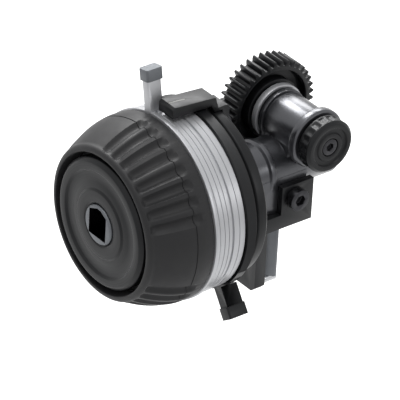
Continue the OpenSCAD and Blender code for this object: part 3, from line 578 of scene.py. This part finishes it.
class FOLLOWFOCUS_OT_grip(Piece, bpy.types.Operator):
    """Turn the rubber grip and press its ribbed sectors into it"""
    bl_idname = "follow_focus.grip"
    bl_label = "Grip"
    STEPS = 480
    EDGE_STEPS = 8
    RIB_STATIONS = 26
    SEAT_GAP = mm(0.1)
    CAP_GAP = mm(1.7)
    MOUTH_EDGE = mm(0.35)
    MOUTH_EDGE_MIDDLE = mm(0.1)
    TAPER_POWER = 1.75
    LINE_TOP = mm(0.25)  # from the line's middle to its edge
    LINE_FLOOR = mm(0.17)
    LINE_DEPTH = mm(0.22)
    LINE_MARGIN = mm(0.4)
    REAR_EDGE = mm(0.6)
    REAR_EDGE_MIDDLE = mm(0.18)
    BORE_START = mm(7.6)
    GROOVE_LEAD = mm(0.6)
    GROOVE_RUN_OUT = mm(2.2)
    GROOVE_POWER = 2.2
    SKIN_MARGIN = mm(1.6)
    SMOOTH_DEGREES = 35

    def execute(self, context):
        sizes = settings().grip
        front, rear = span("grip_sleeve", 1)
        outer = radius("grip_sleeve")
        seat = span("wheel_hub", 1)[0] - self.SEAT_GAP
        mouth = radius("front_cap") + self.CAP_GAP
        full = rear - sizes.straight
        taper = rear - front - 2 * sizes.straight

        def grip_radius(station):
            return outer - sizes.drop * (max(0.0, full - station) / taper) ** self.TAPER_POWER

        shoulder = front + sizes.edge
        shoulder_radius = grip_radius(shoulder)
        outline = [(mouth, seat), (mouth, front + self.MOUTH_EDGE),
                   (mouth + self.MOUTH_EDGE_MIDDLE, front + self.MOUTH_EDGE_MIDDLE),
                   (mouth + self.MOUTH_EDGE, front)]
        for i in range(self.EDGE_STEPS + 1):
            turn = math.pi / 2 * i / self.EDGE_STEPS
            outline.append((shoulder_radius - sizes.edge + sizes.edge * math.sin(turn),
                            shoulder - sizes.edge * math.cos(turn)))
        ribs_end = rear - sizes.rim
        line = rear - sizes.line
        stations = [shoulder + (ribs_end - shoulder) * i / self.RIB_STATIONS
                    for i in range(1, self.RIB_STATIONS + 1)]
        depths = [(station, 0.0) for station in stations if abs(station - line) > self.LINE_MARGIN]
        depths += [(line - self.LINE_TOP, 0.0), (line - self.LINE_FLOOR, self.LINE_DEPTH),
                   (line + self.LINE_FLOOR, self.LINE_DEPTH), (line + self.LINE_TOP, 0.0)]
        outline += [(grip_radius(station) - depth, station) for station, depth in sorted(depths)]
        outline += [(outer, rear - self.REAR_EDGE),
                    (outer - self.REAR_EDGE_MIDDLE, rear - self.REAR_EDGE_MIDDLE),
                    (outer - self.REAR_EDGE, rear), (outer - sizes.wall, rear),
                    (outer - sizes.wall, seat + self.BORE_START), (grip_radius(seat) - sizes.wall, seat)]
        piece = lathe("ribbed_rubber_grip", outline, wheel_ring, self.STEPS)
        self.press_grooves(piece, sizes, shoulder - self.GROOVE_LEAD, ribs_end)
        select_only(piece)
        bpy.ops.object.shade_smooth_by_angle(angle=math.radians(self.SMOOTH_DEGREES))
        install(piece, "grip_sleeve", "rubber")
        return {"FINISHED"}

    def press_grooves(self, piece, sizes, first, last):
        """Moves the outer skin inwards along each groove, with soft sides and round ends."""
        sector = math.tau / sizes.sectors
        middle = (sizes.grooves - 1) / 2
        half = sizes.pitch * sizes.groove_share / 2
        inner_skin = radius("grip_sleeve") - sizes.drop - self.SKIN_MARGIN
        for vertex in piece.data.vertices:
            x, z = vertex.co.x - WHEEL.x, vertex.co.z - WHEEL.z
            distance = math.hypot(x, z)
            if not first < vertex.co.y < last or distance < inner_skin:
                continue
            turn = (math.atan2(x, z) - sizes.start + sector / 2) % sector - sector / 2
            place = turn / sizes.pitch + middle
            nearest = min(max(round(place), 0), sizes.grooves - 1)
            off = abs(place - nearest) * sizes.pitch / half
            if off >= 1:
                continue
            end = min(vertex.co.y - first, last - vertex.co.y) / self.GROOVE_RUN_OUT
            ends = math.sin(min(end, 1.0) * math.pi / 2)
            depth = sizes.groove_depth * (1 - off ** self.GROOVE_POWER) * ends
            vertex.co.x -= x / distance * depth
            vertex.co.z -= z / distance * depth


class FOLLOWFOCUS_OT_cap(Piece, bpy.types.Operator):
    """Turn the stepped cap in the middle of the wheel and finish its socket"""
    bl_idname = "follow_focus.cap"
    bl_label = "Cap and socket"
    BORE_GAP = mm(0.05)
    BORE_EDGE = (mm(0.8), mm(0.5))
    FACE = mm(0.02)  # how far each step lies behind the front of the cap
    FIRST_STEP = mm(0.55)
    SECOND_STEP = mm(0.8)
    RIM = mm(0.1)
    RIM_EDGE = mm(1.2)

    def execute(self, context):
        front, rear = span("front_cap", 1)
        outer = radius("front_cap")
        bore = radius("whip_socket") + self.BORE_GAP
        edge_width, edge_depth = self.BORE_EDGE
        outline = [
            (bore, rear), (bore, front + edge_depth), (bore + edge_width, front + self.FACE),
            (outer * 0.52, front + self.FACE), (outer * 0.55, front + self.FIRST_STEP),
            (outer * 0.62, front + self.FIRST_STEP), (outer * 0.65, front + self.SECOND_STEP),
            (outer * 0.8, front + self.SECOND_STEP), (outer * 0.83, front + self.RIM),
            (outer - self.RIM_EDGE, front + self.RIM), (outer, front + self.RIM_EDGE), (outer, rear)]
        cap = ease_edges(lathe("stepped_cap", outline, wheel_ring), settings().edges.turned)
        install(cap, "front_cap", "black_wheel")
        dress("whip_socket", "grey", settings().edges.turned)
        return {"FINISHED"}


class FOLLOWFOCUS_OT_marker_ring(Piece, bpy.types.Operator):
    """Turn the pale marker ring with its two bands and fine lines"""
    bl_idname = "follow_focus.marker_ring"
    bl_label = "Marker ring"
    LINE_WIDTH = mm(0.28)
    LINE_DEPTH = mm(0.22)
    FRONT_LINES = (0.42, 0.74)  # as shares of the front band
    REAR_LINE = 0.45
    WALL = mm(2.3)
    FRONT_BAND = mm(4.9)
    FRONT_EDGE = mm(0.5)
    REAR_DROP = mm(0.2)
    REAR_EDGE = mm(0.4)
    GROOVE_WIDTH = mm(0.9)
    GROOVE_DEPTH = mm(0.8)
    GROOVE_EDGE = mm(0.15)
    SMOOTH_DEGREES = 25

    def line(self, outer, station):
        """A fine turned line across the outline."""
        half = self.LINE_WIDTH / 2
        return [(outer, station - half), (outer - self.LINE_DEPTH, station - half * 0.5),
                (outer - self.LINE_DEPTH, station + half * 0.5), (outer, station + half)]

    def execute(self, context):
        front, rear = span("marker_ring", 1)
        outer = radius("marker_ring")
        rear_outer = outer - self.REAR_DROP
        bore = outer - self.WALL
        split = front + self.FRONT_BAND
        second = split + self.GROOVE_WIDTH
        outline = [(bore, front), (outer - self.FRONT_EDGE, front), (outer, front + self.FRONT_EDGE)]
        for share in self.FRONT_LINES:
            outline += self.line(outer, front + (split - front) * share)
        outline += [(outer, split - self.GROOVE_EDGE), (outer - self.GROOVE_EDGE, split),
                    (outer - self.GROOVE_DEPTH, split), (outer - self.GROOVE_DEPTH, second),
                    (rear_outer - self.GROOVE_EDGE, second), (rear_outer, second + self.GROOVE_EDGE)]
        outline += self.line(rear_outer, second + (rear - second) * self.REAR_LINE)
        outline += [(rear_outer, rear - self.REAR_EDGE), (rear_outer - self.REAR_EDGE, rear), (bore, rear)]
        ring = lathe("lined_marker_ring", outline, wheel_ring)
        select_only(ring)
        bpy.ops.object.shade_smooth_by_angle(angle=math.radians(self.SMOOTH_DEGREES))
        install(ring, "marker_ring", "clear")
        dress("drum_retainer", "black_wheel", settings().edges.turned)
        finish_frame_piece("wheel_hub", "black_wheel")
        return {"FINISHED"}


class FOLLOWFOCUS_OT_stops(Piece, bpy.types.Operator):
    """Finish the two stop rings and their lever tips"""
    bl_idname = "follow_focus.stops"
    bl_label = "Stop rings"

    def execute(self, context):
        edges = settings().edges
        dress("stop_a_ring", "clear", edges.turned)
        dress("stop_a_pad", "grey", edges.plate)
        dress("stop_b_ring", "black_wheel", edges.turned)
        dress("stop_b_pad", "black_wheel", edges.plate)
        return {"FINISHED"}


class FOLLOWFOCUS_OT_pointer(Piece, bpy.types.Operator):
    """Finish the fixed pointer, its line and its screws"""
    bl_idname = "follow_focus.pointer"
    bl_label = "Pointer"

    def execute(self, context):
        dress("pointer_arm", "black_blasted", settings().edges.plate, 3)
        finish_frame_piece("pointer_line", "paint")
        dress("pointer_screws", "oxide", settings().edges.small)
        return {"FINISHED"}


class FOLLOWFOCUS_OT_gearbox(Piece, bpy.types.Operator):
    """Finish the gearbox body, its flange and its covers"""
    bl_idname = "follow_focus.gearbox"
    bl_label = "Gearbox"

    def execute(self, context):
        edges = settings().edges
        dress("gearbox_body", "satin_painted_light_drive", edges.casting, 3)
        dress("front_flange", "black_wheel", edges.turned)
        dress("rear_cover", "satin_painted_light_wheel", edges.turned)
        dress("side_bearing_cap", "satin_painted_light_drive", edges.turned)
        dress("gear_side_ring", "clear", edges.turned)
        return {"FINISHED"}


class FOLLOWFOCUS_OT_drive_gear(Piece, bpy.types.Operator):
    """Finish the toothed drive gear and its clamp plate"""
    bl_idname = "follow_focus.drive_gear"
    bl_label = "Drive gear"

    def execute(self, context):
        dress("drive_gear", "black_drive", settings().edges.small)
        dress("gear_clamp_plate", "clear", settings().edges.small)
        return {"FINISHED"}


class FOLLOWFOCUS_OT_lock_knob(Piece, bpy.types.Operator):
    """Turn the lock knob, press its flutes and finish the bolt in it"""
    bl_idname = "follow_focus.lock_knob"
    bl_label = "Lock knob"
    STEPS_PER_FLUTE = 12
    GRIP_STEPS = 8
    BOLT_RADIUS = mm(1.55)
    HEAD_RADIUS = mm(3.05)
    HEAD_DEPTH = mm(2.4)
    HEAD_RIM = mm(0.25)
    GRIP_INSETS = (mm(1.3), mm(1.2))
    INNER_EDGE = mm(0.8)
    FACE_EDGE = mm(0.9)
    DISH_DEPTH = mm(0.7)
    FLUTE_POWER = 0.7
    SHARP_DEGREES = 35

    def execute(self, context):
        sizes = settings().knob
        inner, face = span("lock_knob", 0)
        outer = radius("lock_knob")
        bolt, head = self.BOLT_RADIUS, self.HEAD_RADIUS
        seat = face - self.HEAD_DEPTH
        dish, head_rim = face - self.DISH_DEPTH, face - self.HEAD_RIM
        grip_start, grip_end = inner + self.GRIP_INSETS[0], face - self.GRIP_INSETS[1]
        outline = [(bolt, inner), (outer - self.INNER_EDGE, inner), (outer, inner + self.INNER_EDGE),
                   (outer, grip_start)]
        outline += [(outer, grip_start + (grip_end - grip_start) * i / self.GRIP_STEPS)
                    for i in range(1, self.GRIP_STEPS + 1)]
        outline += [(outer, face - self.FACE_EDGE), (outer - self.FACE_EDGE, face), (outer * 0.74, face),
                    (outer * 0.71, dish), (outer * 0.55, dish), (outer * 0.52, head_rim),
                    (head, head_rim), (head, seat), (bolt, seat)]
        knob = lathe("fluted_lock_knob", outline, drive_ring, sizes.flutes * self.STEPS_PER_FLUTE)
        for vertex in knob.data.vertices:
            y, z = vertex.co.y - DRIVE.y, vertex.co.z - DRIVE.z
            distance = math.hypot(y, z)
            if distance > outer - MERGE and grip_start < vertex.co.x < grip_end:
                wave = 0.5 - 0.5 * math.cos(math.atan2(y, z) * sizes.flutes)
                depth = sizes.flute_depth * wave ** self.FLUTE_POWER
                vertex.co.y -= y / distance * depth
                vertex.co.z -= z / distance * depth
        knob = ease_edges(knob, settings().edges.small, angle=self.SHARP_DEGREES)
        install(knob, "lock_knob", "black_drive")
        dress("lock_bolt", "oxide", settings().edges.small)
        return {"FINISHED"}


class FOLLOWFOCUS_OT_bracket(Piece, bpy.types.Operator):
    """Finish the bracket, the rail and its stop pins"""
    bl_idname = "follow_focus.bracket"
    bl_label = "Bracket and rail"

    def execute(self, context):
        edges = settings().edges
        dress("mount_bracket", "black_blasted", edges.plate)
        dress("dovetail_rail", "grey", edges.small)
        dress("rail_stop_pins", "steel", edges.small)
        return {"FINISHED"}


class FOLLOWFOCUS_OT_fasteners(Piece, bpy.types.Operator):
    """Finish the screws"""
    bl_idname = "follow_focus.fasteners"
    bl_label = "Screws"

    def execute(self, context):
        for node in ("cheek_screw", "foot_screws", "rail_screws", "rear_cover_screws", "flange_screws"):
            dress(node, "oxide", settings().edges.small)
        return {"FINISHED"}


class FOLLOWFOCUS_OT_inner_parts(Piece, bpy.types.Operator):
    """Finish the shafts, bearings, screw gears, clips and the drag washer"""
    bl_idname = "follow_focus.inner_parts"
    bl_label = "Inner parts"

    def execute(self, context):
        for node in ("wheel_shaft", "hub_pin", "drive_shaft", "wheel_bearing_front", "wheel_bearing_rear",
                     "drive_bearing_gear_side", "drive_bearing_knob_side"):
            finish_frame_piece(node, "steel")
        for node in ("wheel_shaft_clips", "drive_shaft_clips"):
            finish_frame_piece(node, "oxide")
        for node in ("wheel_screw_gear", "drive_screw_gear"):
            finish_frame_piece(node, "brass")
        finish_frame_piece("drag_washer", "acetal")
        return {"FINISHED"}


class FOLLOWFOCUS_OT_studio(Piece, bpy.types.Operator):
    """Lay the floor, hang the lamps and set the camera"""
    bl_idname = "follow_focus.studio"
    bl_label = "Studio"
    LAMPS = (
        # name, place from the target, size and power in watts
        ("key_softbox", (-1.0, 0.2, 1.1), 0.55, 17.0),
        ("back_softbox", (-1.0, 0.85, 0.8), 0.5, 7.0),
        ("overhead_softbox", (0.1, -0.3, 1.6), 0.9, 8.0),
        ("side_strip", (1.3, 0.6, 0.5), 0.4, 1.5),
    )
    FLOOR_SIZE = 12
    FARTHEST_SEEN = 20
    SEEN_SKY = 0.97  # strength of the sky where the camera, glass or a reflection sees it

    def execute(self, context):
        studio = settings().studio
        self.lay_floor(studio)
        for name, place, size, power in self.LAMPS:
            self.hang_lamp(name, Vector(studio.target), Vector(place), size, power)
        self.light_sky(studio)
        self.set_camera(studio)
        return {"FINISHED"}

    def lay_floor(self, studio):
        lowest = CAD_BOX[0][2]
        bpy.ops.object.select_all(action="DESELECT")
        bpy.ops.mesh.primitive_plane_add(size=self.FLOOR_SIZE, location=(0, 0, lowest - studio.floor_gap))
        floor = bpy.context.object
        floor.name = "studio_floor"
        material = new_material("matt_studio_floor")
        tree = material.node_tree
        mottle = noise(tree, position(tree), 60.0)
        # a pale backdrop for the camera that throws no light on the object
        seen = add_node(tree, "ShaderNodeLightPath").outputs["Is Camera Ray"]
        glow = add_node(tree, "ShaderNodeMath", {0: seen, 1: studio.backdrop}, operation="MULTIPLY")
        finish_off(material, {
            "Base Color": shade(tree, settings().colours.floor, 0.01, mottle), "Roughness": 0.9,
            "Specular IOR Level": 0.1, "Emission Color": (1, 1, 1, 1),
            "Emission Strength": glow.outputs[0]})
        floor.data.materials.append(material)

    def hang_lamp(self, name, target, place, size, power):
        bpy.ops.object.light_add(type="AREA", location=target + place)
        lamp = bpy.context.object
        lamp.name = name
        lamp.data.size = size
        lamp.data.energy = power
        lamp.rotation_euler = place.to_track_quat("Z", "Y").to_euler()

    def light_sky(self, studio):
        world = bpy.data.worlds.new("studio_sky")
        bpy.context.scene.world = world
        world.use_nodes = True
        tree = world.node_tree
        tree.nodes.clear()
        rays = add_node(tree, "ShaderNodeLightPath").outputs
        clear = add_node(tree, "ShaderNodeMath", {0: rays["Is Camera Ray"], 1: rays["Is Transmission Ray"]},
                         operation="MAXIMUM").outputs[0]
        seen = add_node(tree, "ShaderNodeMath", {0: clear, 1: rays["Is Glossy Ray"]},
                        operation="MAXIMUM").outputs[0]
        strength = add_node(tree, "ShaderNodeMapRange", {
            "Value": seen, "To Min": studio.sky, "To Max": self.SEEN_SKY}).outputs["Result"]
        sky = add_node(tree, "ShaderNodeBackground", {"Color": (1, 1, 1, 1), "Strength": strength})
        add_node(tree, "ShaderNodeOutputWorld", {"Surface": sky.outputs[0]})

    def set_camera(self, studio):
        view = bpy.data.cameras.new("photo_camera")
        camera = bpy.data.objects.new("photo_camera", view)
        bpy.context.scene.collection.objects.link(camera)
        view.lens = studio.lens
        view.clip_end = self.FARTHEST_SEEN
        back = Vector((math.sin(studio.azimuth) * math.cos(studio.elevation),
                       -math.cos(studio.azimuth) * math.cos(studio.elevation),
                       math.sin(studio.elevation)))
        camera.location = Vector(studio.target) + back * studio.distance
        level = back.to_track_quat("Z", "Y")
        camera.rotation_euler = (Quaternion(back, studio.roll) @ level).to_euler()
        bpy.context.scene.camera = camera


class FOLLOWFOCUS_PT_panel(bpy.types.Panel):
    """The unit's pieces, one button each"""
    bl_idname = "FOLLOWFOCUS_PT_panel"
    bl_label = "Follow Focus"
    bl_space_type = "VIEW_3D"
    bl_region_type = "UI"
    bl_category = "Follow Focus"

    def draw(self, context):
        for operator in OPERATORS:
            self.layout.operator(operator.bl_idname)


OPERATORS = (
    FOLLOWFOCUS_OT_grip, FOLLOWFOCUS_OT_cap, FOLLOWFOCUS_OT_marker_ring, FOLLOWFOCUS_OT_stops,
    FOLLOWFOCUS_OT_pointer, FOLLOWFOCUS_OT_gearbox, FOLLOWFOCUS_OT_drive_gear, FOLLOWFOCUS_OT_lock_knob,
    FOLLOWFOCUS_OT_bracket, FOLLOWFOCUS_OT_fasteners, FOLLOWFOCUS_OT_inner_parts, FOLLOWFOCUS_OT_studio,
)
CLASSES = (GripSizes, KnobSizes, EdgeSizes, Colours, Studio, FollowFocusSettings,
           *OPERATORS, FOLLOWFOCUS_PT_panel)


def register():
    for item in CLASSES:
        bpy.utils.register_class(item)
    bpy.types.Scene.follow_focus = PointerProperty(type=FollowFocusSettings)


def unregister():
    del bpy.types.Scene.follow_focus
    for item in reversed(CLASSES):
        bpy.utils.unregister_class(item)


def main():
    register()
    bpy.context.scene.view_settings.view_transform = "Standard"
    for operator in OPERATORS:
        group, name = operator.bl_idname.split(".")
        getattr(getattr(bpy.ops, group), name)()


if __name__ == "__main__":
    main()
